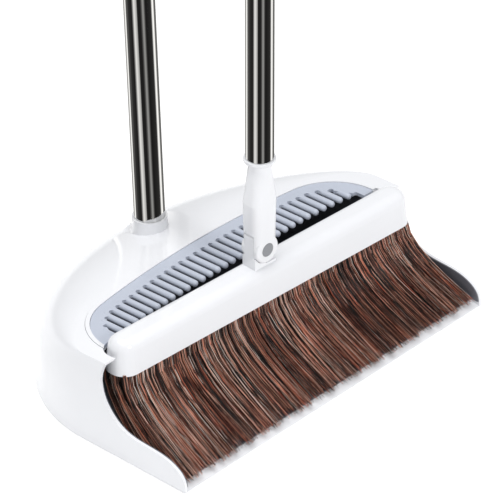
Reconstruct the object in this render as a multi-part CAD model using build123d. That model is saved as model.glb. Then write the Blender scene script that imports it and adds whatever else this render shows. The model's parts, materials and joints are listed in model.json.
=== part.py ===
from build123d import *
import math
import os

# A dust pan with its broom standing in the mouth. Every size is in millimetres.
# X runs along the pan's lip, Y from the lip towards the back, Z up from the floor.
# Places are measured from the middle of the lip; save() then moves everything so that
# the origin is the centre of the pan's footprint.

# ---- pan shell
PAN_WIDTH = 350.0
PAN_DEPTH = 252.0
SIDE_LENGTH = 110.0  # straight stretch of the side walls, lip to the start of the rounded back
WALL = 2.5
FLOOR = 2.5
HOOD_HEIGHT = 78.0  # top of the hood where the rounded back starts
HOOD_TILT = 2.3  # degrees: the hood's top falls towards the back
SHOULDER_RISE = 38.0  # height over which the hood rounds inwards
SIDE_ROUND = 4.0
BACK_ROUND = 75.0
BACK_DRAFT = 8.0
SHOULDER_STEPS = (0, 30, 55, 75, 90)  # degrees round the shoulder where a section is placed
RIM_BUMP_DEPTH = 14.0
RIM_BUMP_HEIGHT = 20.5
RIM_SADDLE_DEPTH = 66.0
RIM_SADDLE_HEIGHT = 28.8
RIM_RISE_DEPTH = 87.0
RIM_TOP_DEPTH = 84.0

# ---- liner and lip strip
LINER = 1.0
LINER_HEIGHT = 60.0
LINER_SETBACK = 0.4
LIP_STRIP_DEPTH = 9.0
LIP_STRIP_EDGE = 0.6

# ---- comb that cleans the bristles, measured on the hood's tilted top
COMB_WIDTH = 306.0
COMB_APEX = 45.5  # from the start of the rounded back to the comb's rear edge
COMB_FRONT = -12.0
COMB_BACK_RADIUS = 825.0
COMB_CORNER = 48.0
COMB_MARGIN = 12.5  # plate left between the outer edge and the ends of the slots
COMB_THICKNESS = 3.0
COMB_RECESS = 0.5
FINGER_PITCH = 8.76
FINGER_DIAMETER = 5.5
SLOT_END_RADIUS = 2.15
FINGER_ROOT = 4.0  # length of a finger that runs on under the plate
FINGER_TIP = 2.5
FINGER_TIP_SAG = 9.0
SLOTS_PER_SIDE = 16  # besides the one in the middle
PART_LINE = 0.3

# ---- ring round the comb
RING_WIDTH = 3.5
RING_PROUD = 0.4
RING_LEDGE = 5.0
RING_FLANGE = 3.4
RING_FLOOR = 2.0

# ---- screws
SCREW_RADIUS = 1.5
SCREW_HEAD_RADIUS = 3.0
SCREW_HEAD = 1.6
COUNTERSINK_RADIUS = 4.0
COUNTERSINK_DEPTH = 2.0
SOCKET_SCREW_LENGTH = 14.0

# ---- pan pole and its socket
PAN_POLE_RADIUS = 12.7
PAN_POLE_SETBACK = 54.5  # from the pan's back to where the pole's axis meets the floor
PAN_POLE_LEAN = 2.5  # degrees backwards
PAN_POLE_SEAT = 30.0
PAN_POLE_TOP = 790.0
PAN_POLE_JOINT = 430.0
SOCKET_TOP = 82.5
SOCKET_WALL = 1.7
SOCKET_FLARE = 7.0
SOCKET_FLARE_RISE = 16.0

# ---- broom pole
BROOM_POLE_RADIUS = 11.5
BROOM_POLE_BOTTOM = 187.5
BROOM_POLE_TOP = 960.0
BROOM_POLE_JOINT = 560.0

# ---- what both poles share
TUBE_WALL = 1.0
COUPLER_RING = 8.0
COUPLER_PROUD = 0.7
COUPLER_SPIGOT = 25.0
GRIP_LENGTH = 125.0
GRIP_WALL = 3.0
GRIP_GROOVES = 8
GRIP_GROOVE_DEPTH = 0.7
GRIP_GROOVE_WIDTH = 2.4
CAP_DISC = 4.0
CAP_SPIGOT = 18.0
LOOP_WIDTH = 24.0
LOOP_HEIGHT = 30.0
LOOP_THICKNESS = 8.0
LOOP_HOLE_RADIUS = 6.0

# ---- broom head
HEAD_LENGTH = 323.0
HEAD_DEPTH = 30.0
HEAD_HEIGHT = 28.5
HEAD_BOTTOM = 61.0
HEAD_CENTRE = 83.7
BROOM_TURN = -3.0  # degrees: the broom stands a little askew in the mouth
BROOM_SHIFT = 1.6  # and a little to the right of its middle
HEAD_END_FLAT = 1.0  # flat stretch left in the middle of each rounded end
HEAD_DRAFT = 6.0
HEAD_CROWN_RADIUS = 9.0
HEAD_WALL = 2.2
HEAD_GAP = 1.5  # between the head and the hood round it
COMB_GAP = 0.8  # between the head and the comb's front
BLOCK_RECESS = 1.5
BLOCK_HEIGHT = 6.5
BLOCK_GAP = 0.2
BOSS_RADIUS = 4.0
BOSS_SPACING = 75.0
BOSS_ROWS = 4
BLOCK_SCREW_LENGTH = 14.0

# ---- bristles, as one solid outline
BRISTLE_SIDE_GAP = 3.0  # from the outermost tips to the pan's walls
BRISTLE_INSET = 0.6
BRISTLE_TIP_FRONT = 3.0
BRISTLE_TIP_BACK = 60.0
BRISTLE_GAP = 0.4
BRISTLE_CORNER = 6.0
BRISTLE_SWEEP = 0.3  # share of the reach, forwards and sideways, gained by half way down

# ---- hinge between the head and the handle
PIN_HEIGHT = 105.0
PIN_RADIUS = 2.5
PIN_RUNNING_GAP = 0.05
CHEEK_RADIUS = 11.8
FORK_HALF_WIDTH = 13.0
FORK_HALF_DEPTH = 9.2
FORK_CORNER = 6.0
FORK_BLOCK_TOP = 148.0
FORK_NECK_BOTTOM = 178.0
FORK_NECK_RADIUS = 9.5
FORK_FLANGE_RADIUS = 13.0
FORK_FLANGE = 3.0
FORK_SPIGOT = 36.0
TONGUE_HALF_DEPTH = 5.2
TONGUE_GAP = 0.3
TONGUE_RADIUS = 15.0
TONGUE_RIGHT = 10.5
TONGUE_CORNER = 3.0
CHEEK_GAP = 0.6
FOLD_GAP = 0.8
BRACKET_START = -11.8
BRACKET_END = 11.2
BRACKET_HALF_DEPTH = 7.0
BRACKET_SCREW_SPACING = 15.0
BRACKET_SCREW_LENGTH = 6.0
PIN_CAP_RADIUS = 5.8
PIN_CAP_GAP = 0.1
PIN_CAP_THICKNESS = 1.3
PIN_CAP_PROUD = 0.3

BIG = 400.0  # longer than anything it has to cut
HALF_WIDTH = PAN_WIDTH / 2
PAN_POLE_DEPTH = PAN_DEPTH - PAN_POLE_SETBACK
HEAD_END_RADIUS = (HEAD_DEPTH - HEAD_END_FLAT) / 2
BACK_DEPTH = PAN_DEPTH - SIDE_LENGTH
TILT = math.radians(HOOD_TILT)
TOP_PLANE = Plane(
    origin=(0, SIDE_LENGTH, HOOD_HEIGHT),
    x_dir=(1, 0, 0),
    z_dir=(0, math.sin(TILT), math.cos(TILT)),
)
LEAN = math.radians(PAN_POLE_LEAN)
PAN_POLE_PLANE = Plane(
    origin=(0, PAN_POLE_DEPTH, 0),
    x_dir=(1, 0, 0),
    z_dir=(0, math.sin(LEAN), math.cos(LEAN)),
)
BROOM_POLE_PLANE = Plane(origin=(0, HEAD_CENTRE, 0), x_dir=(1, 0, 0), z_dir=(0, 0, 1))
HINGE_PLANE = Plane(origin=(0, HEAD_CENTRE, PIN_HEIGHT), x_dir=(1, 0, 0), z_dir=(0, -1, 0))


# ---- helpers
def save(name, shape):
    placed = Pos(0, -PAN_DEPTH / 2, 0) * shape
    export_step(placed, os.path.join("parts", name + ".step"))


def broom_turned(shape):
    return Pos(BROOM_SHIFT, HEAD_CENTRE, 0) * Rot(0, 0, BROOM_TURN) * Pos(0, -HEAD_CENTRE, 0) * shape


def save_broom(name, shape):
    save(name, broom_turned(shape))


def box(low, high):
    size = [b - a for a, b in zip(low, high)]
    return Pos(*low) * Box(*size, align=(Align.MIN, Align.MIN, Align.MIN))


def rod(radius, low, high):
    base = Pos(0, 0, low)
    return base * Cylinder(radius, high - low, align=(Align.CENTER, Align.CENTER, Align.MIN))


def turned(profile):
    face = make_face(Polyline(*[(r, 0, z) for r, z in profile], close=True))
    return revolve(face, Axis.Z)


def arc(centre, radius, start, end):
    angles = [math.radians(a) for a in (start, (start + end) / 2, end)]
    points = [(centre[0] + radius * math.cos(a), centre[1] + radius * math.sin(a)) for a in angles]
    return ThreePointArc(*points)


# ---- pan
def pan_section(height, half_width, back, tilt):
    ellipse = EllipticalCenterArc((0, 0), half_width, back, 0, arc_size=180)
    front = -SIDE_LENGTH - WALL
    sides = Polyline((-half_width, 0), (-half_width, front), (half_width, front), (half_width, 0))
    normal = (0, math.sin(tilt), math.cos(tilt))
    plane = Plane(origin=(0, SIDE_LENGTH, height), x_dir=(1, 0, 0), z_dir=normal)
    return plane * make_face([*ellipse.edges(), *sides.edges()])


def pan_body(inset, floor, roof_inset):
    """The pan's outer form, drawn in by inset at the sides and roof_inset at the top."""
    half_width = HALF_WIDTH - inset
    back = BACK_DEPTH - inset
    top = HOOD_HEIGHT - roof_inset
    shoulder = HOOD_HEIGHT - SHOULDER_RISE
    low_tilt = TILT * shoulder / top
    lower = loft([
        pan_section(floor, half_width, back, 0),
        pan_section(shoulder, half_width, back - BACK_DRAFT, low_tilt),
    ])
    sections = []
    for step in SHOULDER_STEPS:
        turn = math.radians(step)
        height = shoulder + (top - shoulder) * math.sin(turn)
        side = half_width - SIDE_ROUND * (1 - math.cos(turn))
        rear = back - BACK_DRAFT - BACK_ROUND * (1 - math.cos(turn))
        sections.append(pan_section(height, side, rear, TILT * height / top))
    return lower + loft(sections)


def rim_region(setback):
    """Side view of everything behind the rim of the mouth, as a slab across the pan."""
    rim = Spline(
        (setback, 0),
        (RIM_BUMP_DEPTH / 4 + setback, RIM_BUMP_HEIGHT * 2 / 3),
        (RIM_BUMP_DEPTH + setback, RIM_BUMP_HEIGHT),
        (RIM_SADDLE_DEPTH, RIM_SADDLE_HEIGHT - setback),
        (RIM_RISE_DEPTH + setback, HOOD_HEIGHT * 2 / 3),
        (RIM_TOP_DEPTH + setback, HOOD_HEIGHT + 2 * WALL),
    )
    rest = Polyline(
        (RIM_TOP_DEPTH + setback, HOOD_HEIGHT + 2 * WALL),
        (RIM_TOP_DEPTH + setback, BIG),
        (BIG, BIG),
        (BIG, -BIG),
        (setback, -BIG),
        (setback, 0),
    )
    side_view = Plane(origin=(-BIG / 2, 0, 0), x_dir=(0, 1, 0), z_dir=(1, 0, 0))
    return extrude(side_view * make_face([*rim.edges(), *rest.edges()]), BIG)


def comb_outline(grow, front=COMB_FRONT):
    """D-shaped outline of the comb on the hood's top, grown outwards by grow."""
    half = COMB_WIDTH / 2 + grow
    corner_x, corner_y = comb_corner()
    lean = math.degrees(math.atan2(corner_y - (COMB_APEX - COMB_BACK_RADIUS), corner_x))
    radius = COMB_CORNER + grow
    foot = -COMB_WIDTH
    edges = [
        Line((half, foot), (half, corner_y)),
        arc((corner_x, corner_y), radius, 0, lean),
        arc((0, COMB_APEX - COMB_BACK_RADIUS), COMB_BACK_RADIUS + grow, lean, 180 - lean),
        arc((-corner_x, corner_y), radius, 180 - lean, 180),
        Line((-half, corner_y), (-half, foot)),
        Line((-half, foot), (half, foot)),
    ]
    behind = Pos(0, front) * Rectangle(BIG, BIG, align=(Align.CENTER, Align.MIN))
    return make_face(edges) & behind


def comb_corner():
    """Centre of the corner arc that meets both the straight side and the rear arc."""
    x = COMB_WIDTH / 2 - COMB_CORNER
    reach = COMB_BACK_RADIUS - COMB_CORNER
    y = COMB_APEX - COMB_BACK_RADIUS + math.sqrt(reach**2 - x**2)
    return x, y


def comb_slab(grow, low, high, front=COMB_FRONT):
    face = Plane(origin=(0, 0, low)) * comb_outline(grow, front)
    return TOP_PLANE * extrude(face, high - low)


def socket_hole():
    """Room for the socket's stem in the upper half of the hood."""
    return PAN_POLE_PLANE * rod(socket_radius() + BLOCK_GAP, HOOD_HEIGHT / 2, BIG)


def socket_radius():
    return PAN_POLE_RADIUS + SOCKET_WALL


def socket_screw_at():
    return Pos(0, PAN_POLE_DEPTH, 0)


def countersunk(length):
    cone_top = COUNTERSINK_DEPTH
    profile = [
        (0, 0),
        (COUNTERSINK_RADIUS, 0),
        (SCREW_RADIUS, cone_top),
        (SCREW_RADIUS, length),
        (0, length),
    ]
    return turned(profile)


def head_clearance(gap):
    """The broom head's outline grown by gap, swept up through the hood."""
    face = RectangleRounded(HEAD_LENGTH + 2 * gap, HEAD_DEPTH + 2 * gap, HEAD_END_RADIUS + gap)
    return broom_turned(extrude(Pos(0, HEAD_CENTRE, HEAD_BOTTOM - WALL) * face, BIG))


def pan_shell():
    hollow = pan_body(WALL, FLOOR, WALL)
    shell = (pan_body(0, 0, 0) - hollow) & rim_region(0)
    shell -= comb_slab(RING_WIDTH + PART_LINE, -BIG / 20, BIG / 20, -SIDE_LENGTH / 5)
    shell -= head_clearance(HEAD_GAP)
    shell -= socket_hole()
    shell -= socket_screw_at() * countersunk(SOCKET_SCREW_LENGTH)
    shell -= box((-BIG, -WALL, -WALL), (BIG, LIP_STRIP_DEPTH, BIG)) & lip_zone()
    return shell


def lip_zone():
    return box((-HALF_WIDTH + WALL, -WALL, -WALL), (HALF_WIDTH - WALL, LIP_STRIP_DEPTH, FLOOR + WALL))


def lip_strip():
    """Soft strip along the front of the floor, thin at its leading edge."""
    side_view = Plane(origin=(-HALF_WIDTH + WALL, 0, 0), x_dir=(0, 1, 0), z_dir=(1, 0, 0))
    profile = Polyline(
        (0, 0),
        (LIP_STRIP_DEPTH, 0),
        (LIP_STRIP_DEPTH, FLOOR),
        (0, LIP_STRIP_EDGE),
        close=True,
    )
    return extrude(side_view * make_face(profile), PAN_WIDTH - 2 * WALL)


def pan_liner():
    """Thin tub that lines the floor and the walls."""
    gap = WALL + BLOCK_GAP / 2
    inner = gap + LINER
    solid = pan_body(gap, FLOOR, gap) - pan_body(inner, FLOOR + LINER, inner)
    solid &= rim_region(LINER_SETBACK)
    solid &= box((-BIG, 0, 0), (BIG, BIG, LINER_HEIGHT))
    solid -= box((-BIG, -WALL, 0), (BIG, LIP_STRIP_DEPTH, FLOOR + 2 * LINER))
    solid -= socket_hole()
    solid -= socket_screw_at() * rod(SCREW_RADIUS, 0, SOCKET_SCREW_LENGTH)
    return solid


# ---- comb and ring
def slot_places():
    return [i * FINGER_PITCH for i in range(-SLOTS_PER_SIDE, SLOTS_PER_SIDE + 1)]


def root_line(x):
    """Rear end of the slots: the comb's outline drawn in by the margin."""
    corner_x, corner_y = comb_corner()
    centre_y = COMB_APEX - COMB_BACK_RADIUS
    rear = COMB_BACK_RADIUS - COMB_MARGIN
    corner = COMB_CORNER - COMB_MARGIN
    switch = corner_x * rear / (COMB_BACK_RADIUS - COMB_CORNER)
    if abs(x) < switch:
        return centre_y + math.sqrt(rear**2 - x**2)
    return corner_y + math.sqrt(max(corner**2 - (abs(x) - corner_x) ** 2, 0))


def tip_line(x):
    return FINGER_TIP - FINGER_TIP_SAG * (2 * x / COMB_WIDTH) ** 4


def finger(x):
    radius = FINGER_DIAMETER / 2
    tip = tip_line(x) + radius
    length = root_line(x) + FINGER_ROOT - tip
    barrel = Pos(x, tip, -radius) * Rot(-90, 0, 0) * rod(radius, 0, length)
    return barrel + Pos(x, tip, -radius) * Sphere(radius)


def comb_insert():
    top = -COMB_RECESS
    plate_face = Plane(origin=(0, 0, top - COMB_THICKNESS)) * comb_outline(-PART_LINE)
    plate = extrude(plate_face, COMB_THICKNESS)
    places = slot_places()
    roots = [(x, root_line(x)) for x in places]
    last = places[-1] + SLOT_END_RADIUS
    ends = [(last, root_line(places[-1])), (last, -COMB_WIDTH)]
    starts = [(-x, y) for x, y in reversed(ends)]
    gap_face = make_face(Polyline(*starts, *roots, *ends, close=True))
    plate -= extrude(Plane(origin=(0, 0, -BIG / 2)) * gap_face, BIG)
    hole = Cylinder(SLOT_END_RADIUS, 3 * COMB_THICKNESS)
    plate -= [Pos(x, y, -COMB_THICKNESS) * hole for x, y in roots]
    middles = [(a + b) / 2 for a, b in zip(places, places[1:])]
    plate += [finger(x) for x in middles]
    plate = TOP_PLANE * plate
    return plate - comb_screw_set() - head_clearance(COMB_GAP)


def ring_floor():
    return -COMB_RECESS - COMB_THICKNESS


def comb_ring():
    low = ring_floor() - RING_FLOOR
    band = comb_slab(RING_WIDTH, low, RING_PROUD) - comb_slab(0, low, BIG, -COMB_WIDTH)
    ledge = comb_slab(0, low, ring_floor()) - comb_slab(-RING_LEDGE, low, BIG, -COMB_WIDTH)
    under = -WALL - BLOCK_GAP
    flange = comb_slab(RING_WIDTH + RING_FLANGE, low, under) - comb_slab(0, low, BIG, -COMB_WIDTH)
    flange &= pan_body(WALL + BLOCK_GAP, FLOOR, WALL + BLOCK_GAP)
    return band + ledge + flange - comb_screw_set() - head_clearance(COMB_GAP)


def comb_screw_places():
    """Two on the ledge's rear arc and one at the front of each of its sides."""
    corner_x, corner_y = comb_corner()
    side_y = COMB_CORNER / 6
    reach = COMB_CORNER - RING_LEDGE / 2
    side_x = corner_x + math.sqrt(reach**2 - (side_y - corner_y) ** 2)
    rear_x = COMB_WIDTH / 5
    rear = COMB_BACK_RADIUS - RING_LEDGE / 2
    rear_y = COMB_APEX - COMB_BACK_RADIUS + math.sqrt(rear**2 - rear_x**2)
    return [(-side_x, side_y), (-rear_x, rear_y), (rear_x, rear_y), (side_x, side_y)]


def comb_screw_set():
    """Small pan-head screws that hold the comb down on the ring's ledge."""
    head = ring_floor() - RING_FLOOR
    radius = SCREW_RADIUS * 2 / 3
    tip = -COMB_RECESS - COMB_THICKNESS / 3
    screws = []
    for x, y in comb_screw_places():
        shank = rod(radius, head, tip)
        cap = rod(2 * radius, head - SCREW_HEAD, head)
        screws.append(TOP_PLANE * (Pos(x, y, 0) * (shank + cap)))
    return screws


# ---- socket
def pan_socket():
    outer = socket_radius()
    base = SOCKET_TOP - SOCKET_FLARE_RISE
    flare = revolve(Plane.YZ * flare_face(outer, base), Axis.Z)
    above = PAN_POLE_PLANE * flare - pan_body(0, 0, 0)
    stem = PAN_POLE_PLANE * rod(outer, -outer, SOCKET_TOP - SOCKET_FLARE_RISE / 2)
    seat = FLOOR + LINER
    stem &= box((-BIG, 0, seat), (BIG, BIG, BIG))
    body = above + stem
    body -= PAN_POLE_PLANE * rod(PAN_POLE_RADIUS, PAN_POLE_SEAT, BIG)
    return body - socket_screw_at() * rod(SCREW_RADIUS, 0, SOCKET_SCREW_LENGTH)


def flare_face(outer, base):
    low = base - SOCKET_FLARE_RISE
    edges = [
        Line((0, low), (outer + SOCKET_FLARE, low)),
        Line((outer + SOCKET_FLARE, low), (outer + SOCKET_FLARE, base)),
        Spline(
            (outer + SOCKET_FLARE, base),
            (outer, SOCKET_TOP),
            tangents=[(-1, 0), (0, 1)],
        ),
        Line((outer, SOCKET_TOP), (0, SOCKET_TOP)),
        Line((0, SOCKET_TOP), (0, low)),
    ]
    return make_face(edges)


def socket_screw():
    return socket_screw_at() * countersunk(SOCKET_SCREW_LENGTH)


# ---- poles: each is two tubes, a coupler, a grip and a cap with a hanging loop
def tube(radius, low, high):
    return rod(radius, low, high) - rod(radius - TUBE_WALL, low, high)


def coupler(radius, joint):
    bore = radius - TUBE_WALL
    ring = chamfer(rod(radius + COUPLER_PROUD, joint, joint + COUPLER_RING).edges(), COUPLER_PROUD / 2)
    return ring + rod(bore, joint - COUPLER_SPIGOT, joint + COUPLER_RING + COUPLER_SPIGOT)


def grip(radius, top):
    outer = radius + GRIP_WALL
    low = top - GRIP_LENGTH
    body = fillet(rod(outer, low, top).edges(), GRIP_WALL * 2 / 3)
    first = low + GRIP_LENGTH / 4
    spacing = GRIP_LENGTH / 2 / (GRIP_GROOVES - 1)
    for i in range(GRIP_GROOVES):
        middle = first + i * spacing
        ring = rod(outer + 1, middle - GRIP_GROOVE_WIDTH / 2, middle + GRIP_GROOVE_WIDTH / 2)
        core = rod(outer - GRIP_GROOVE_DEPTH, middle - GRIP_GROOVE_WIDTH, middle + GRIP_GROOVE_WIDTH)
        body -= ring - core
    return body - rod(radius, low, top)


def hang_cap(radius, top):
    outer = radius + GRIP_WALL
    disc = fillet(rod(outer, top, top + CAP_DISC).edges(), GRIP_WALL / 3)
    plug = rod(radius - TUBE_WALL, top - CAP_SPIGOT, top + CAP_DISC / 2)
    half = LOOP_WIDTH / 2
    straight = LOOP_HEIGHT - half
    flat = Rectangle(LOOP_WIDTH, straight, align=(Align.CENTER, Align.MIN))
    face = flat + Pos(0, straight) * Circle(half) - Pos(0, straight) * Circle(LOOP_HOLE_RADIUS)
    side = Plane(origin=(0, LOOP_THICKNESS / 2, top + CAP_DISC / 2), x_dir=(1, 0, 0), z_dir=(0, -1, 0))
    loop = extrude(side * face, LOOP_THICKNESS)
    return disc + plug + loop


def pole(name, plane, radius, bottom, joint, top):
    return {
        name + "_pole_lower": plane * tube(radius, bottom, joint),
        name + "_pole_coupler": plane * coupler(radius, joint),
        name + "_pole_upper": plane * tube(radius, joint + COUPLER_RING, top),
        name + "_grip": plane * grip(radius, top),
        name + "_hang_cap": plane * hang_cap(radius, top),
    }


# ---- broom head
def head_form(inset, bottom, roof):
    face = RectangleRounded(HEAD_LENGTH - 2 * inset, HEAD_DEPTH - 2 * inset, HEAD_END_RADIUS - inset)
    form = extrude(Pos(0, HEAD_CENTRE, bottom) * face, roof - bottom, taper=HEAD_DRAFT)
    return fillet(form.edges().group_by(Axis.Z)[-1], HEAD_CROWN_RADIUS - inset)


def crown():
    return HEAD_BOTTOM + HEAD_HEIGHT


def boss_places():
    first = -BOSS_SPACING * (BOSS_ROWS - 1) / 2
    return [(first + i * BOSS_SPACING, HEAD_CENTRE) for i in range(BOSS_ROWS)]


def bracket_screw_places():
    half = BRACKET_SCREW_SPACING / 2
    return [(-half, HEAD_CENTRE), (half, HEAD_CENTRE)]


def block_top():
    return HEAD_BOTTOM + BLOCK_RECESS + BLOCK_HEIGHT


def head_shell():
    shell = head_form(0, HEAD_BOTTOM, crown()) - head_form(HEAD_WALL, HEAD_BOTTOM, crown() - HEAD_WALL)
    for x, y in boss_places():
        shell += Pos(x, y, 0) * rod(BOSS_RADIUS, block_top(), crown() - HEAD_WALL / 2)
    return shell - block_screw_set() - bracket_screw_set()


def bristle_block():
    form = head_form(HEAD_WALL + BLOCK_GAP, HEAD_BOTTOM, crown() - HEAD_WALL)
    low = HEAD_BOTTOM + BLOCK_RECESS
    form &= box((-BIG, 0, low), (BIG, BIG, block_top()))
    return form - block_screw_set()


def block_screw_set():
    low = HEAD_BOTTOM + BLOCK_RECESS
    screws = []
    for x, y in boss_places():
        shank = rod(SCREW_RADIUS, low, low + BLOCK_SCREW_LENGTH)
        cap = rod(SCREW_HEAD_RADIUS, low, low + SCREW_HEAD)
        screws.append(Pos(x, y, 0) * (shank + cap))
    return screws


def bristle_section(height, front, back, half_length, share):
    """The bundle's outline at one height, following the given share of the broom's turn and shift."""
    face = RectangleRounded(2 * half_length, back - front, BRISTLE_CORNER)
    about = Pos(BROOM_SHIFT * share, HEAD_CENTRE, height) * Rot(0, 0, BROOM_TURN * share)
    return about * Pos(0, (front + back) / 2 - HEAD_CENTRE, 0) * face


def bristles():
    """The bundle as one solid: rooted in the turned head, swept forward to lie along the lip."""
    inset = HEAD_WALL + BRISTLE_INSET
    root_front = HEAD_CENTRE - HEAD_DEPTH / 2 + inset
    root_back = HEAD_CENTRE + HEAD_DEPTH / 2 - inset
    root_half = HEAD_LENGTH / 2 - inset
    root = HEAD_BOTTOM + BLOCK_RECESS
    tip = FLOOR + LINER + BRISTLE_GAP
    mouth = HEAD_BOTTOM - BRISTLE_INSET
    middle_front = root_front + (BRISTLE_TIP_FRONT - root_front) * BRISTLE_SWEEP
    middle_back = root_back + (BRISTLE_TIP_BACK - root_back) * BRISTLE_SWEEP
    tip_half = HALF_WIDTH - WALL - LINER - BRISTLE_SIDE_GAP
    middle_half = root_half + (tip_half - root_half) * BRISTLE_SWEEP
    swept = loft([
        bristle_section(tip, BRISTLE_TIP_FRONT, BRISTLE_TIP_BACK, tip_half, 0),
        bristle_section((tip + mouth) / 2, middle_front, middle_back, middle_half, 1 / 2),
        bristle_section(mouth, root_front, root_back, root_half, 1),
    ])
    pad = head_form(inset, mouth, crown()) & box((-BIG, 0, 0), (BIG, BIG, root))
    return swept + broom_turned(pad)


# ---- hinge: the bracket's tongue stands between the two cheeks of the handle's fork
def across_hinge(face, half_depth):
    """Extrudes a front-view face, drawn about the pin, to both sides of the head's centre."""
    return extrude(HINGE_PLANE * face, half_depth, both=True)


def view_box(left, low, right, high):
    return Pos((left + right) / 2, (low + high) / 2) * Rectangle(right - left, high - low)


def head_bracket():
    foot = HEAD_BOTTOM + HEAD_HEIGHT / 2 - PIN_HEIGHT
    pad_top = -FORK_HALF_WIDTH - FOLD_GAP
    wall = view_box(BRACKET_START, foot, 0, TONGUE_RADIUS)
    wall = fillet(wall.vertices().group_by(Axis.Y)[-1].sort_by(Axis.X)[0], TONGUE_CORNER)
    round_top = Circle(TONGUE_RADIUS) & view_box(0, -BIG, TONGUE_RIGHT, BIG)
    right = view_box(0, foot, TONGUE_RIGHT, 0)
    tongue = across_hinge(wall + round_top + right, TONGUE_HALF_DEPTH)
    cradle = view_box(BRACKET_START, foot, 0, -CHEEK_RADIUS / 2) - Circle(CHEEK_RADIUS + CHEEK_GAP)
    pad = view_box(BRACKET_START, foot, BRACKET_END, pad_top)
    base = across_hinge(cradle + pad, BRACKET_HALF_DEPTH)
    body = tongue + base - head_form(0, HEAD_BOTTOM, crown())
    body = body.solids().sort_by(SortBy.VOLUME)[-1]
    body -= across_hinge(Circle(PIN_RADIUS + PIN_RUNNING_GAP), FORK_HALF_DEPTH)
    return body - bracket_screw_set()


def bracket_screw_set():
    """Screws driven up from inside the head into the bracket."""
    head = crown() - HEAD_WALL
    radius = SCREW_RADIUS * 2 / 3
    screws = []
    for x, y in bracket_screw_places():
        shank = rod(radius, head, head + BRACKET_SCREW_LENGTH)
        cap = rod(2 * radius, head - SCREW_HEAD, head)
        screws.append(Pos(x, y, 0) * (shank + cap))
    return screws


def handle_fork():
    block_face = RectangleRounded(2 * FORK_HALF_WIDTH, 2 * FORK_HALF_DEPTH, FORK_CORNER)
    cheek_face = RectangleRounded(2 * CHEEK_RADIUS, 2 * FORK_HALF_DEPTH, FORK_CORNER)
    block = loft([Pos(0, 0, PIN_HEIGHT) * cheek_face, Pos(0, 0, FORK_BLOCK_TOP) * block_face])
    neck_face = Pos(0, 0, FORK_NECK_BOTTOM) * Circle(FORK_NECK_RADIUS)
    flare = loft([Pos(0, 0, FORK_BLOCK_TOP) * block_face, neck_face])
    flange_low = BROOM_POLE_BOTTOM - FORK_FLANGE
    neck = rod(FORK_NECK_RADIUS, FORK_NECK_BOTTOM, flange_low)
    flange = rod(FORK_FLANGE_RADIUS, flange_low, BROOM_POLE_BOTTOM)
    flange = fillet(flange.edges(), FORK_FLANGE / 4)
    spigot = rod(BROOM_POLE_RADIUS - TUBE_WALL, flange_low, BROOM_POLE_BOTTOM + FORK_SPIGOT)
    body = BROOM_POLE_PLANE * (block + flare + neck + flange + spigot)
    cheeks = across_hinge(Circle(CHEEK_RADIUS), FORK_HALF_DEPTH)
    cheeks = fillet(cheeks.edges(), FORK_CORNER / 4)
    body += cheeks
    roof = TONGUE_RADIUS + CHEEK_GAP
    slot = view_box(-BIG, -BIG, BIG, roof)
    body -= across_hinge(slot, TONGUE_HALF_DEPTH + TONGUE_GAP)
    body -= across_hinge(Circle(PIN_RADIUS), FORK_HALF_DEPTH)
    return body - cap_recesses()


def pin_end():
    return FORK_HALF_DEPTH - PIN_CAP_THICKNESS + PIN_CAP_PROUD


def cap_recesses():
    disc = across_hinge(Circle(PIN_CAP_RADIUS + PIN_CAP_GAP), BIG / 2)
    return disc - across_hinge(Circle(BIG), pin_end())


def hinge_pin():
    return across_hinge(Circle(PIN_RADIUS), pin_end())


def pin_caps():
    disc = across_hinge(Circle(PIN_CAP_RADIUS), FORK_HALF_DEPTH + PIN_CAP_PROUD)
    disc = fillet(disc.edges(), PIN_CAP_PROUD * 2 / 3)
    return disc - across_hinge(Circle(BIG), pin_end())


def main():
    os.makedirs("parts", exist_ok=True)
    save("pan_shell", pan_shell())
    save("pan_liner", pan_liner())
    save("lip_strip", lip_strip())
    save("comb_ring", comb_ring())
    save("comb_insert", comb_insert())
    save("comb_screws", Compound(comb_screw_set()))
    save("pan_socket", pan_socket())
    save("socket_screw", socket_screw())
    pan_pole = pole("pan", PAN_POLE_PLANE, PAN_POLE_RADIUS, PAN_POLE_SEAT, PAN_POLE_JOINT, PAN_POLE_TOP)
    for name, shape in pan_pole.items():
        save(name, shape)
    save_broom("head_shell", head_shell())
    save_broom("bristle_block", bristle_block())
    save_broom("block_screws", Compound(block_screw_set()))
    save("bristles", bristles())
    save_broom("head_bracket", head_bracket())
    save_broom("bracket_screws", Compound(bracket_screw_set()))
    save_broom("handle_fork", handle_fork())
    save_broom("hinge_pin", hinge_pin())
    save_broom("pin_caps", pin_caps())
    size = (BROOM_POLE_RADIUS, BROOM_POLE_BOTTOM, BROOM_POLE_JOINT, BROOM_POLE_TOP)
    for name, shape in pole("broom", BROOM_POLE_PLANE, *size).items():
        save_broom(name, shape)


main()
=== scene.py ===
import json
import math

import bmesh
import bpy
import numpy as np
from bpy.props import (
    FloatProperty,
    FloatVectorProperty,
    IntProperty,
    PointerProperty,
)
from bpy.types import Operator, Panel, PropertyGroup
from mathutils import Matrix, Vector


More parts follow.
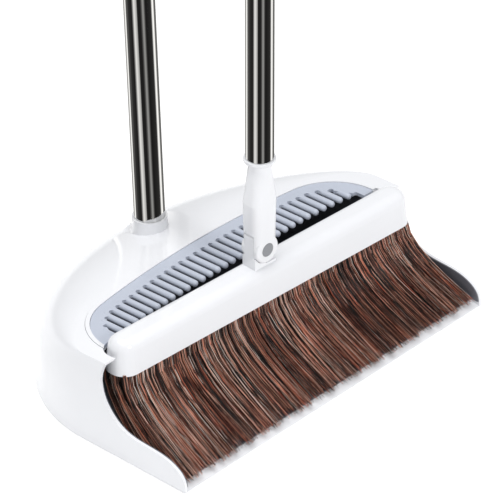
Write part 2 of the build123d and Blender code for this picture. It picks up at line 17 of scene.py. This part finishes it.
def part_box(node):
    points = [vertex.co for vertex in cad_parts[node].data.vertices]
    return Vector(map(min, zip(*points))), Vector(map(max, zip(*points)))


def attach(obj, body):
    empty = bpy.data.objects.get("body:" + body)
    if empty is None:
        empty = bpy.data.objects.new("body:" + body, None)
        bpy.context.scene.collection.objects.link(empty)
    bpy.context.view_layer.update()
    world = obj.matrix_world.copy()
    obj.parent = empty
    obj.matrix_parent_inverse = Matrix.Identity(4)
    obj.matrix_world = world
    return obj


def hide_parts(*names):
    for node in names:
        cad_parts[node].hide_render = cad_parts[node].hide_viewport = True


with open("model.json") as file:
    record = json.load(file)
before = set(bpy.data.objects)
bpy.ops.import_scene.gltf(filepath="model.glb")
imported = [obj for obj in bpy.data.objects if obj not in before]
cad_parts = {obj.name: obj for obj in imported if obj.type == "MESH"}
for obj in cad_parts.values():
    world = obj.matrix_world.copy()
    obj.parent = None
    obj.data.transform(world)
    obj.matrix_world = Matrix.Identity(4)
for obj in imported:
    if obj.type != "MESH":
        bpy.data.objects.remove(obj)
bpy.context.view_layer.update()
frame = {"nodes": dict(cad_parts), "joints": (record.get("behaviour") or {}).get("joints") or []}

bl_info = {
    "name": "Dust Pan and Broom Set",
    "version": (1, 0, 0),
    "blender": (4, 5, 0),
    "location": "3D View > Sidebar > Dust Pan",
    "description": "Finishes the dust pan and broom and builds the bristles",
    "category": "Object",
}

JOINTS = {joint["name"]: joint for joint in frame["joints"]}
PIN = Vector(JOINTS["handle_fold"]["pos_m"])
FOLD_AXIS = Vector(JOINTS["handle_fold"]["axis"])
BROOM_TURN = math.atan2(-FOLD_AXIS.x, FOLD_AXIS.y)

# A long lens from the front left, looking down.
VIEW_AZIMUTH = math.radians(47.563)
VIEW_ELEVATION = math.radians(33.523)
VIEW_FROM = (-2.66747, -2.47359, 2.49139)
VIEW_LENS = 395.3
SENSOR = 36.0

WHITE_NODES = (
    "pan_shell",
    "comb_ring",
    "pan_socket",
    "head_shell",
    "head_bracket",
    "handle_fork",
    "pan_hang_cap",
    "broom_hang_cap",
    "pan_pole_coupler",
    "broom_pole_coupler",
)
TUBE_NODES = ("pan_pole_lower", "pan_pole_upper", "broom_pole_lower", "broom_pole_upper")
SCREW_NODES = ("comb_screws", "socket_screw", "block_screws", "bracket_screws", "hinge_pin")

# Colours of the fibres, from the darkest (0) to the palest (1).
FIBRE_TONES = (
    (0.0, (0.003, 0.002, 0.002)),
    (0.28, (0.022, 0.008, 0.006)),
    (0.45, (0.26, 0.085, 0.050)),
    (0.62, (0.78, 0.32, 0.21)),
    (0.80, (1.0, 0.61, 0.47)),
    (1.0, (1.0, 0.90, 0.84)),
)
# What they are multiplied by, from the root (0) to the tip (1): painted shade near the head, a pale
# painted sheen at mid-length, and redder tips.
FIBRE_SHADE_AND_SHEEN = (
    (0.10, (0.01, 0.01, 0.01)),
    (0.27, (0.48, 0.46, 0.46)),
    (0.46, (0.94, 1.0, 1.0)),
    (0.78, (0.78, 0.66, 0.60)),
    (1.0, (1.0, 0.52, 0.40)),
)
SECTION_SIDES = 3  # corners of a fibre's section


# ---- settings
class DustPanColours(PropertyGroup):
    white: FloatVectorProperty(
        name="White Plastic",
        description="Glossy shell of the pan, the head and the handle's fork",
        subtype="COLOR",
        default=(0.86, 0.87, 0.90),
        min=0,
        max=1,
    )
    slate: FloatVectorProperty(
        name="Liner",
        description="Satin liner inside the pan",
        subtype="COLOR",
        default=(0.150, 0.155, 0.180),
        min=0,
        max=1,
    )
    comb: FloatVectorProperty(
        name="Comb",
        description="Plate and fingers that clean the bristles",
        subtype="COLOR",
        default=(0.52, 0.56, 0.65),
        min=0,
        max=1,
    )
    tube: FloatVectorProperty(
        name="Tube",
        description="Polished tubes",
        subtype="COLOR",
        default=(0.60, 0.60, 0.60),
        min=0,
        max=1,
    )
    pin: FloatVectorProperty(
        name="Pin Caps",
        description="Discs over the ends of the hinge pin",
        subtype="COLOR",
        default=(0.27, 0.28, 0.30),
        min=0,
        max=1,
    )


class BristleSettings(PropertyGroup):
    columns: IntProperty(
        name="Columns",
        description="Tufts along the head",
        default=57,
        min=8,
        max=90,
    )
    rows: IntProperty(
        name="Rows",
        description="Tufts across the head",
        default=5,
        min=2,
        max=8,
    )
    per_tuft: IntProperty(
        name="Fibres per Tuft",
        description="Fibres in each tuft",
        default=80,
        min=4,
        max=120,
    )
    root_width: FloatProperty(
        name="Root Width",
        description="Width of a fibre where it leaves the head",
        default=0.0007,
        min=0.0002,
        max=0.003,
        unit="LENGTH",
    )
    taper: FloatProperty(
        name="Taper",
        description="Width of the tip as a share of the root",
        default=0.30,
        min=0.05,
        max=1,
        subtype="FACTOR",
    )
    seed: IntProperty(
        name="Seed",
        description="Start of the random draws",
        default=11,
        min=0,
    )


class StageSettings(PropertyGroup):
    key: FloatProperty(
        name="Key",
        description="Power of the big lamp overhead",
        default=25.0,
        min=0,
        unit="POWER",
    )
    front: FloatProperty(
        name="Front",
        description="Power of the lamp that lights the bristles",
        default=10.0,
        min=0,
        unit="POWER",
    )
    sky: FloatProperty(
        name="Surroundings",
        description="Strength of the even light from all sides",
        default=0.44,
        min=0,
    )
    floor: FloatVectorProperty(
        name="Floor",
        description="Colour of the plain floor",
        subtype="COLOR",
        default=(0.93, 0.93, 0.93),
        min=0,
        max=1,
    )


# ---- shader helpers
def new_material(name):
    material = bpy.data.materials.new(name)
    material.use_nodes = True
    material.node_tree.nodes.clear()
    tree = material.node_tree
    out = tree.nodes.new("ShaderNodeOutputMaterial")
    shader = tree.nodes.new("ShaderNodeBsdfPrincipled")
    tree.links.new(shader.outputs["BSDF"], out.inputs["Surface"])
    return material, tree, shader


def rgba(colour, share=1.0):
    return (colour[0] * share, colour[1] * share, colour[2] * share, 1.0)


def set_inputs(node, **values):
    for name, value in values.items():
        node.inputs[name.replace("_", " ")].default_value = value


def group_sockets(group, inputs, outputs):
    for name, kind, value in inputs:
        socket = group.interface.new_socket(name=name, in_out="INPUT", socket_type=kind)
        if value is not None:
            socket.default_value = value
    for name, kind in outputs:
        group.interface.new_socket(name=name, in_out="OUTPUT", socket_type=kind)


def noise_node(tree, scale, detail, coordinate=None):
    node = tree.nodes.new("ShaderNodeTexNoise")
    set_inputs(node, Scale=scale, Detail=detail)
    if coordinate is not None:
        tree.links.new(coordinate, node.inputs["Vector"])
    return node


def range_node(tree, value, low, high, start, end):
    node = tree.nodes.new("ShaderNodeMapRange")
    node.clamp = True
    set_inputs(node, From_Min=low, From_Max=high, To_Min=start, To_Max=end)
    tree.links.new(value, node.inputs["Value"])
    return node.outputs["Result"]


def ramp_node(tree, value, stops):
    """Colour ramp through (position, colour) stops."""
    node = tree.nodes.new("ShaderNodeValToRGB")
    elements = node.color_ramp.elements
    while len(elements) < len(stops):
        elements.new(0.5)
    for element, (position, colour) in zip(elements, stops):
        element.position = position
        element.color = rgba(colour)
    tree.links.new(value, node.inputs["Fac"])
    return node.outputs["Color"]


def moulded_skin():
    """Soft mottling, fine grain and a few hairline scuffs of moulded plastic."""
    name = "moulded_skin"
    if name in bpy.data.node_groups:
        return bpy.data.node_groups[name]
    tree = bpy.data.node_groups.new(name, "ShaderNodeTree")
    group_sockets(
        tree,
        [
            ("Light", "NodeSocketColor", (0.8, 0.8, 0.8, 1)),
            ("Deep", "NodeSocketColor", (0.7, 0.7, 0.7, 1)),
            ("Smooth", "NodeSocketFloat", 0.2),
            ("Worn", "NodeSocketFloat", 0.4),
            ("Grain", "NodeSocketFloat", 900.0),
        ],
        [
            ("Colour", "NodeSocketColor"),
            ("Roughness", "NodeSocketFloat"),
            ("Height", "NodeSocketFloat"),
        ],
    )
    enter = tree.nodes.new("NodeGroupInput")
    leave = tree.nodes.new("NodeGroupOutput")
    place = tree.nodes.new("ShaderNodeTexCoord").outputs["Object"]
    cloud = noise_node(tree, 18.0, 3.0, place).outputs["Fac"]
    cloud = range_node(tree, cloud, 0.35, 0.65, 0.0, 1.0)
    mix = tree.nodes.new("ShaderNodeMix")
    mix.data_type = "RGBA"
    tree.links.new(cloud, mix.inputs["Factor"])
    tree.links.new(enter.outputs["Light"], mix.inputs["A"])
    tree.links.new(enter.outputs["Deep"], mix.inputs["B"])
    tree.links.new(mix.outputs["Result"], leave.inputs["Colour"])
    stretch = tree.nodes.new("ShaderNodeMapping")
    stretch.inputs["Scale"].default_value = (40.0, 300.0, 90.0)
    stretch.inputs["Rotation"].default_value = (0.3, 0.5, 0.9)
    tree.links.new(place, stretch.inputs["Vector"])
    scuff = noise_node(tree, 1.0, 2.0, stretch.outputs["Vector"]).outputs["Fac"]
    scuff = range_node(tree, scuff, 0.62, 0.78, 0.0, 1.0)
    rough = tree.nodes.new("ShaderNodeMix")
    tree.links.new(scuff, rough.inputs["Factor"])
    tree.links.new(enter.outputs["Smooth"], rough.inputs["A"])
    tree.links.new(enter.outputs["Worn"], rough.inputs["B"])
    tree.links.new(rough.outputs["Result"], leave.inputs["Roughness"])
    grain = tree.nodes.new("ShaderNodeTexNoise")
    tree.links.new(place, grain.inputs["Vector"])
    tree.links.new(enter.outputs["Grain"], grain.inputs["Scale"])
    tree.links.new(grain.outputs["Fac"], leave.inputs["Height"])
    return tree


def plastic(name, colour, deep=0.97, smooth=0.18, worn=0.3, grain=900.0, bump=0.02, coat=0.0):
    material, tree, shader = new_material(name)
    skin = tree.nodes.new("ShaderNodeGroup")
    skin.node_tree = moulded_skin()
    set_inputs(skin, Light=rgba(colour), Deep=rgba(colour, deep))
    set_inputs(skin, Smooth=smooth, Worn=worn, Grain=grain)
    tree.links.new(skin.outputs["Colour"], shader.inputs["Base Color"])
    tree.links.new(skin.outputs["Roughness"], shader.inputs["Roughness"])
    lift = tree.nodes.new("ShaderNodeBump")
    set_inputs(lift, Strength=bump, Distance=0.0002)
    tree.links.new(skin.outputs["Height"], lift.inputs["Height"])
    tree.links.new(lift.outputs["Normal"], shader.inputs["Normal"])
    shader.inputs["Coat Weight"].default_value = coat
    shader.inputs["Coat Roughness"].default_value = 0.05
    return material


def polished_metal(name, colour, smooth, worn, along):
    """Metal with fine lines drawn along Z where along is set, or round it."""
    material, tree, shader = new_material(name)
    place = tree.nodes.new("ShaderNodeTexCoord").outputs["Object"]
    stretch = tree.nodes.new("ShaderNodeMapping")
    stretch.inputs["Scale"].default_value = (900.0, 900.0, 6.0) if along else (60.0, 60.0, 2500.0)
    tree.links.new(place, stretch.inputs["Vector"])
    lines = noise_node(tree, 1.0, 3.0, stretch.outputs["Vector"]).outputs["Fac"]
    rough = range_node(tree, lines, 0.3, 0.8, smooth, worn)
    tree.links.new(rough, shader.inputs["Roughness"])
    ramp = tree.nodes.new("ShaderNodeValToRGB")
    ramp.color_ramp.elements[0].color = rgba(colour, 0.96)
    ramp.color_ramp.elements[1].color = rgba(colour)
    tree.links.new(lines, ramp.inputs["Fac"])
    tree.links.new(ramp.outputs["Color"], shader.inputs["Base Color"])
    shader.inputs["Metallic"].default_value = 1.0
    return material


def fibre_material():
    """Each fibre's tone, with painted shade where it leaves the head, a painted sheen at mid-length,
    and redder at its tip.
    """
    material, tree, shader = new_material("bristle_fibre")
    tone = tree.nodes.new("ShaderNodeAttribute")
    tone.attribute_name = "tone"
    along = tree.nodes.new("ShaderNodeAttribute")
    along.attribute_name = "along"
    colour = ramp_node(tree, tone.outputs["Fac"], FIBRE_TONES)
    # Painted shade at the roots and a painted sheen at mid-length, multiplied into the fibre's tone.
    shade = ramp_node(tree, along.outputs["Fac"], FIBRE_SHADE_AND_SHEEN)
    mix = tree.nodes.new("ShaderNodeMix")
    mix.data_type = "RGBA"
    mix.blend_type = "MULTIPLY"
    mix.inputs["Factor"].default_value = 1.0
    tree.links.new(colour, mix.inputs["A"])
    tree.links.new(shade, mix.inputs["B"])
    tree.links.new(mix.outputs["Result"], shader.inputs["Base Color"])
    rough = range_node(tree, tone.outputs["Fac"], 0.0, 1.0, 0.42, 0.30)
    tree.links.new(rough, shader.inputs["Roughness"])
    return material


def dress(names, material):
    for name in names:
        node = frame["nodes"][name]
        for slot in node.material_slots:
            slot.material = material


# ---- operators
class DUSTPAN_OT_pan_finish(Operator):
    """Give the pan's shell, liner, lip, ring and socket their plastics"""

    bl_idname = "dustpan.pan_finish"
    bl_label = "Finish Pan"

    def execute(self, context):
        colours = context.scene.dustpan_colours
        shell = plastic("white_plastic", colours.white, 0.985, 0.16, 0.24, 700.0, 0.01, 0.25)
        dress(WHITE_NODES, shell)
        dress(("pan_liner",), plastic("slate_plastic", colours.slate, 0.8, 0.38, 0.5, 1500.0, 0.08))
        dress(("lip_strip",), plastic("soft_strip", colours.white, 0.96, 0.5, 0.6, 1200.0, 0.1))
        return {"FINISHED"}


class DUSTPAN_OT_comb_finish(Operator):
    """Give the comb its satin blue-grey plastic"""

    bl_idname = "dustpan.comb_finish"
    bl_label = "Finish Comb"

    def execute(self, context):
        colours = context.scene.dustpan_colours
        dress(("comb_insert",), plastic("comb_plastic", colours.comb, 0.95, 0.3, 0.4, 1300.0, 0.04))
        return {"FINISHED"}


class DUSTPAN_OT_pole_finish(Operator):
    """Polish the tubes, and give the grips and small metal parts their surfaces"""

    bl_idname = "dustpan.pole_finish"
    bl_label = "Finish Poles"

    def execute(self, context):
        colours = context.scene.dustpan_colours
        dress(TUBE_NODES, polished_metal("steel_tube", colours.tube, 0.03, 0.07, True))
        dress(SCREW_NODES, polished_metal("screw_steel", (0.6, 0.6, 0.62), 0.25, 0.4, False))
        grips = ("pan_grip", "broom_grip")
        dress(grips, plastic("grip_plastic", colours.white, 0.95, 0.5, 0.62, 1400.0, 0.25))
        dress(("pin_caps",), plastic("pin_grey", colours.pin, 0.93, 0.32, 0.42, 1400.0, 0.05))
        block = plastic("block_plastic", (0.01, 0.01, 0.012), 0.8, 0.5, 0.6, 1200.0, 0.1)
        dress(("bristle_block",), block)
        return {"FINISHED"}


class DUSTPAN_OT_bristles(Operator):
    """Plant tufts of tapered fibres that sweep forward to the pan's lip"""

    bl_idname = "dustpan.bristles"
    bl_label = "Plant Bristles"

    pieces = 6
    strands = 4  # locks that each tuft parts into
    curve_steps = 6
    end_margin = 0.0035  # from the block's ends to the middle of the outer tufts
    root_depth = 0.0225
    tuft_radius = 0.0021
    tip_margin = 0.0015  # from the bundle's ends to the outer tips
    tip_front = 0.003
    tip_depth = 0.046
    lock_sway = (0.0028, 0.0022)  # spread of the locks along the head and across it
    fibre_sway = (0.0012, 0.0022)

    def execute(self, context):
        settings = context.scene.dustpan_bristles
        rng = np.random.default_rng(settings.seed)
        roots, tips, tone = self.lay_out(settings, rng)
        material = fibre_material()
        order = np.argsort(roots[:, 0], kind="stable")
        profile = self.profile(context, settings.root_width / 2)
        for index, part in enumerate(np.array_split(order, self.pieces)):
            name = f"bristle_tufts_{index + 1}"
            piece = self.fibres(context, name, profile, settings, roots[part], tips[part], tone[part])
            piece.data.materials.clear()
            piece.data.materials.append(material)
            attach(piece, "broom_head")
            if index == 0:
                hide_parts("bristles")
        data = profile.data
        bpy.data.objects.remove(profile)
        bpy.data.curves.remove(data)
        return {"FINISHED"}

    def lay_out(self, settings, rng):
        """Roots and tips in metres, and the shade of each fibre."""
        low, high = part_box("bristles")
        block_low, block_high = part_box("bristle_block")
        half = (block_high.x - block_low.x) / 2 - self.end_margin
        depth = self.root_depth
        columns = np.linspace(-1, 1, settings.columns)
        rows = np.linspace(0, 1, settings.rows)
        across, deep = np.meshgrid(columns, rows)
        stagger = (np.arange(settings.rows) % 2)[:, None] / settings.columns
        across = (across + stagger - stagger.mean()).ravel()
        deep = deep.ravel()
        tuft = np.repeat(np.arange(len(across)), settings.per_tuft)
        lock = rng.integers(0, self.strands, len(tuft)) + tuft * self.strands
        lock_count = len(across) * self.strands
        lock_x = rng.normal(0, self.lock_sway[0], lock_count)
        lock_y = rng.normal(0, self.lock_sway[1], lock_count)
        lock_tone = rng.normal(0, 0.12, lock_count)
        count = len(tuft)
        angle = rng.uniform(0, 2 * math.pi, count)
        radius = self.tuft_radius * np.sqrt(rng.uniform(0, 1, count))
        root_x = across[tuft] * half + radius * np.cos(angle)
        root_y = (deep[tuft] - 0.5) * depth + radius * np.sin(angle)
        root_y = np.clip(root_y, -depth / 2, depth / 2)
        turn_sin, turn_cos = math.sin(BROOM_TURN), math.cos(BROOM_TURN)
        roots = np.empty((count, 3))
        roots[:, 0] = PIN.x + root_x * turn_cos - root_y * turn_sin
        roots[:, 1] = PIN.y + root_x * turn_sin + root_y * turn_cos
        roots[:, 2] = block_low.z
        spread = ((high.x - low.x) / 2 - self.tip_margin) / half
        tips = np.empty((count, 3))
        tips[:, 0] = root_x * spread + lock_x[lock] + rng.normal(0, self.fibre_sway[0], count)
        tips[:, 1] = low.y + self.tip_front + self.tip_depth * deep[tuft] + radius * np.sin(angle) * 2
        tips[:, 1] += lock_y[lock] + rng.normal(0, self.fibre_sway[1], count)
        tips[:, 2] = low.z + 0.0008 + np.abs(rng.normal(0, 0.0016, count))
        short = rng.exponential(0.025, count)
        tips[:, 1] += short * 0.05
        tips[:, 2] += short * 0.02
        tips[:, 0] = np.clip(tips[:, 0] + PIN.x, low.x, high.x)
        tips[:, 1] = np.maximum(tips[:, 1], low.y - 0.0015)
        # Broad patches along the head where the fibres turn paler or darker: painted sheen, added to
        # each fibre's tone.
        painted_sheen_patches = self.drift(rng, root_x, half, 15) * 0.10
        painted_sheen_patches += self.drift(rng, tips[:, 0], half, 70) * 0.10
        tone = np.clip(rng.beta(1.0, 1.35, count) + lock_tone[lock] + painted_sheen_patches, 0, 1)
        return roots, tips, tone

    def drift(self, rng, places, half, steps):
        """Smooth random change along the head, from about -1 to 1."""
        knots = np.linspace(-1.1 * half, 1.1 * half, steps)
        return np.interp(places, knots, rng.uniform(-1, 1, steps))

    def profile(self, context, radius):
        """Three-sided section that every fibre is drawn from."""
        curve = bpy.data.curves.new("fibre_section", "CURVE")
        spline = curve.splines.new("POLY")
        spline.points.add(SECTION_SIDES - 1)
        for index, point in enumerate(spline.points):
            angle = 2 * math.pi * index / SECTION_SIDES
            point.co = (radius * math.cos(angle), radius * math.sin(angle), 0, 1)
        spline.use_cyclic_u = True
        section = bpy.data.objects.new("fibre_section", curve)
        context.scene.collection.objects.link(section)
        return section

    def fibres(self, context, name, profile, settings, roots, tips, tone):
        curve = bpy.data.curves.new(name, "CURVE")
        curve.dimensions = "3D"
        curve.resolution_u = self.curve_steps
        curve.bevel_mode = "OBJECT"
        curve.bevel_object = profile
        curve.use_fill_caps = True
        drop = roots[:, 2] - tips[:, 2]
        reach = roots[:, 1] - tips[:, 1]
        first = roots.copy()
        first[:, 2] -= drop * 0.44
        first[:, 0] += (tips[:, 0] - roots[:, 0]) * 0.25
        last = tips.copy()
        last[:, 1] += reach * 0.40
        last[:, 2] += drop * 0.25
        last[:, 0] -= (tips[:, 0] - roots[:, 0]) * 0.35
        for root, leave, arrive, tip in zip(roots, first, last, tips):
            spline = curve.splines.new("BEZIER")
            spline.bezier_points.add(1)
            start, end = spline.bezier_points
            start.co = root
            start.handle_right = leave
            start.handle_left = 2 * root - leave
            end.co = tip
            end.handle_left = arrive
            end.handle_right = 2 * tip - arrive
            end.radius = settings.taper
        holder = bpy.data.objects.new(name + "_curve", curve)
        context.scene.collection.objects.link(holder)
        depsgraph = context.evaluated_depsgraph_get()
        mesh = bpy.data.meshes.new_from_object(holder.evaluated_get(depsgraph))
        mesh.name = name
        piece = bpy.data.objects.new(name, mesh)
        context.scene.collection.objects.link(piece)
        bpy.data.objects.remove(holder)
        bpy.data.curves.remove(curve)
        total = len(mesh.vertices)
        if total % len(roots):
            raise RuntimeError("the fibres came out uneven, so they can't be shaded one by one")
        each = total // len(roots)
        values = np.repeat(tone, each).astype(np.float32)
        mesh.attributes.new("tone", "FLOAT", "POINT").data.foreach_set("value", values)
        rings = np.repeat(np.linspace(0, 1, each // SECTION_SIDES), SECTION_SIDES)
        values = np.tile(rings, len(roots)).astype(np.float32)
        mesh.attributes.new("along", "FLOAT", "POINT").data.foreach_set("value", values)
        mesh.shade_smooth()
        return piece


class DUSTPAN_OT_stage(Operator):
    """Set up the floor, the lamps, the cards round the tubes and the camera"""

    bl_idname = "dustpan.stage"
    bl_label = "Set Up Stage"

    card_radius = 0.032
    card_drop = 0.018  # a tube mirrors what stands this much lower
    card_glow = 1.7
    tube_share = 0.38  # a tube's radius over its card's
    # greys across a tube as it is seen, from its left edge (0) to its right edge (1)
    stripes = (
        (0.00, 0.33),
        (0.04, 0.30),
        (0.055, 0.95),
        (0.075, 0.95),
        (0.09, 0.085),
        (0.135, 0.080),
        (0.16, 0.030),
        (0.27, 0.010),
        (0.30, 0.23),
        (0.335, 0.80),
        (0.39, 0.50),
        (0.415, 0.40),
        (0.435, 0.014),
        (0.53, 0.012),
        (0.57, 0.08),
        (0.60, 0.27),
        (0.63, 0.25),
        (0.66, 0.06),
        (0.69, 0.010),
        (0.82, 0.022),
        (0.86, 0.035),
        (0.88, 0.60),
        (0.90, 1.0),
        (0.925, 0.95),
        (0.94, 0.16),
        (0.97, 0.10),
        (0.99, 0.12),
        (1.0, 0.8),
    )

    def execute(self, context):
        scene = context.scene
        stage = scene.dustpan_stage
        scene.view_settings.view_transform = "Standard"
        self.floor(context, stage.floor)
        self.surroundings(scene, stage.sky)
        self.lamp(context, "key_lamp", (-0.2, 0.25, 1.9), (0.0, 0.0, 0.05), 1.6, stage.key)
        self.lamp(context, "front_lamp", (-0.15, -1.6, 1.1), (0.0, -0.05, 0.03), 0.5, stage.front)
        card = self.card_material()
        pan_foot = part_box("pan_socket")[1].z - self.card_drop
        broom_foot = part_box("broom_pole_lower")[0].z - self.card_drop
        self.card(context, "pan_pole_lower", pan_foot, card)
        self.card(context, "broom_pole_lower", broom_foot, card)
        self.camera(context)
        return {"FINISHED"}

    def floor(self, context, colour):
        mesh = bpy.data.meshes.new("floor")
        shape = bmesh.new()
        bmesh.ops.create_grid(shape, x_segments=1, y_segments=1, size=6.0)
        bmesh.ops.translate(shape, verts=shape.verts, vec=(0, 0, -0.0004))
        shape.to_mesh(mesh)
        shape.free()
        plane = bpy.data.objects.new("floor", mesh)
        context.scene.collection.objects.link(plane)
        material, tree, shader = new_material("floor_paper")
        place = tree.nodes.new("ShaderNodeTexCoord").outputs["Object"]
        cloud = noise_node(tree, 0.5, 2.0, place).outputs["Fac"]
        ramp = tree.nodes.new("ShaderNodeValToRGB")
        ramp.color_ramp.elements[0].color = rgba(colour, 0.99)
        ramp.color_ramp.elements[1].color = rgba(colour)
        tree.links.new(cloud, ramp.inputs["Fac"])
        tree.links.new(ramp.outputs["Color"], shader.inputs["Base Color"])
        shader.inputs["Roughness"].default_value = 0.9
        shader.inputs["Specular IOR Level"].default_value = 0.0
        shader.inputs["Emission Color"].default_value = (1, 1, 1, 1)
        shader.inputs["Emission Strength"].default_value = 0.25
        mesh.materials.append(material)

    def surroundings(self, scene, strength):
        world = bpy.data.worlds.new("surroundings")
        world.use_nodes = True
        background = world.node_tree.nodes["Background"]
        background.inputs["Color"].default_value = (1, 1, 1, 1)
        background.inputs["Strength"].default_value = strength
        scene.world = world

    def lamp(self, context, name, place, aim, size, power):
        data = bpy.data.lights.new(name, "AREA")
        data.shape = "DISK"
        data.size = size
        data.energy = power
        lamp = bpy.data.objects.new(name, data)
        direction = Vector(aim) - Vector(place)
        turn = direction.to_track_quat("-Z", "Y").to_matrix().to_4x4()
        lamp.matrix_world = Matrix.Translation(place) @ turn
        context.scene.collection.objects.link(lamp)

    def card_material(self):
        """Grey stripes that only the polished tubes mirror, seen from inside the card."""
        material = bpy.data.materials.new("striped_card")
        material.use_nodes = True
        tree = material.node_tree
        tree.nodes.clear()
        out = tree.nodes.new("ShaderNodeOutputMaterial")
        place = tree.nodes.new("ShaderNodeTexCoord").outputs["Object"]
        towards = (-math.sin(VIEW_AZIMUTH), -math.cos(VIEW_AZIMUTH), 0)
        right = (math.cos(VIEW_AZIMUTH), -math.sin(VIEW_AZIMUTH), 0)
        parts = []
        for direction in (right, towards):
            dot = tree.nodes.new("ShaderNodeVectorMath")
            dot.operation = "DOT_PRODUCT"
            dot.inputs[1].default_value = direction
            tree.links.new(place, dot.inputs[0])
            parts.append(dot.outputs["Value"])
        angle = self.math_node(tree, "ARCTAN2", parts[0], parts[1])
        share = self.math_node(tree, "MULTIPLY_ADD", angle, 0.5 / math.pi, 0.5)
        stops = [
            (self.mirrored(position), (grey, grey * 0.985, grey * 0.95))
            for position, grey in self.stripes
        ]
        stripes = ramp_node(tree, share, stops)
        glow = tree.nodes.new("ShaderNodeEmission")
        glow.inputs["Strength"].default_value = self.card_glow
        tree.links.new(stripes, glow.inputs["Color"])
        clear = tree.nodes.new("ShaderNodeBsdfTransparent")
        side = tree.nodes.new("ShaderNodeNewGeometry")
        mix = tree.nodes.new("ShaderNodeMixShader")
        tree.links.new(side.outputs["Backfacing"], mix.inputs["Fac"])
        tree.links.new(clear.outputs["BSDF"], mix.inputs[1])
        tree.links.new(glow.outputs["Emission"], mix.inputs[2])
        tree.links.new(mix.outputs["Shader"], out.inputs["Surface"])
        return material

    def mirrored(self, position):
        """Where a line of sight that meets the tube at position lands on the card, from 0 to 1."""
        across = 2 * position - 1
        angle = 2 * math.asin(across) - math.asin(across * self.tube_share)
        return 0.5 + angle / (2 * math.pi)

    def math_node(self, tree, operation, first, *values):
        node = tree.nodes.new("ShaderNodeMath")
        node.operation = operation
        tree.links.new(first, node.inputs[0])
        for index, value in enumerate(values, start=1):
            if isinstance(value, float):
                node.inputs[index].default_value = value
            else:
                tree.links.new(value, node.inputs[index])
        return node.outputs["Value"]

    def card(self, context, tube, bottom, material):
        """A tube round the lower part of a pole, leaning as the pole does."""
        vertices = frame["nodes"][tube].data.vertices
        low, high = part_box(tube)
        height = high.z - low.z
        ends = []
        for level in (low.z, high.z):
            ring = [v.co for v in vertices if abs(v.co.z - level) < height / 20]
            ends.append(sum(ring, Vector()) / len(ring))
        axis = (ends[1] - ends[0]).normalized()
        mesh = bpy.data.meshes.new(tube + "_card")
        shape = bmesh.new()
        bmesh.ops.create_cone(
            shape,
            cap_ends=False,
            segments=96,
            radius1=self.card_radius,
            radius2=self.card_radius,
            depth=high.z - bottom,
        )
        shape.to_mesh(mesh)
        shape.free()
        mesh.materials.append(material)
        card = bpy.data.objects.new(tube + "_card", mesh)
        middle = (high.z + bottom) / 2
        card.location = ends[0] + axis * (middle - ends[0].z) / axis.z
        card.rotation_euler = (-math.atan2(axis.y, axis.z), 0, 0)
        context.scene.collection.objects.link(card)
        card.visible_camera = False
        card.visible_diffuse = False
        card.visible_shadow = False
        card.visible_transmission = False

    def camera(self, context):
        data = bpy.data.cameras.new("camera")
        data.lens = VIEW_LENS
        data.sensor_width = SENSOR
        camera = bpy.data.objects.new("camera", data)
        camera.location = VIEW_FROM
        camera.rotation_euler = (math.pi / 2 - VIEW_ELEVATION, 0, -VIEW_AZIMUTH)
        context.scene.collection.objects.link(camera)
        context.scene.camera = camera


class DUSTPAN_PT_panel(Panel):
    """Sizes, colours and steps of the dust pan and broom"""

    bl_idname = "DUSTPAN_PT_panel"
    bl_label = "Dust Pan and Broom"
    bl_space_type = "VIEW_3D"
    bl_region_type = "UI"
    bl_category = "Dust Pan"

    def draw(self, context):
        layout = self.layout
        for group in (
            context.scene.dustpan_colours,
            context.scene.dustpan_bristles,
            context.scene.dustpan_stage,
        ):
            box = layout.box()
            for name in group.__annotations__:
                box.prop(group, name)
        for step in STEPS:
            layout.operator(step.bl_idname)


STEPS = (
    DUSTPAN_OT_pan_finish,
    DUSTPAN_OT_comb_finish,
    DUSTPAN_OT_pole_finish,
    DUSTPAN_OT_bristles,
    DUSTPAN_OT_stage,
)
GROUPS = (DustPanColours, BristleSettings, StageSettings)
CLASSES = GROUPS + STEPS + (DUSTPAN_PT_panel,)


def register():
    for item in CLASSES:
        bpy.utils.register_class(item)
    bpy.types.Scene.dustpan_colours = PointerProperty(type=DustPanColours)
    bpy.types.Scene.dustpan_bristles = PointerProperty(type=BristleSettings)
    bpy.types.Scene.dustpan_stage = PointerProperty(type=StageSettings)


def unregister():
    for item in reversed(CLASSES):
        bpy.utils.unregister_class(item)
    del bpy.types.Scene.dustpan_colours
    del bpy.types.Scene.dustpan_bristles
    del bpy.types.Scene.dustpan_stage


def main():
    register()
    bpy.ops.dustpan.pan_finish()
    bpy.ops.dustpan.comb_finish()
    bpy.ops.dustpan.pole_finish()
    bpy.ops.dustpan.bristles()
    bpy.ops.dustpan.stage()


if __name__ == "__main__":
    main()
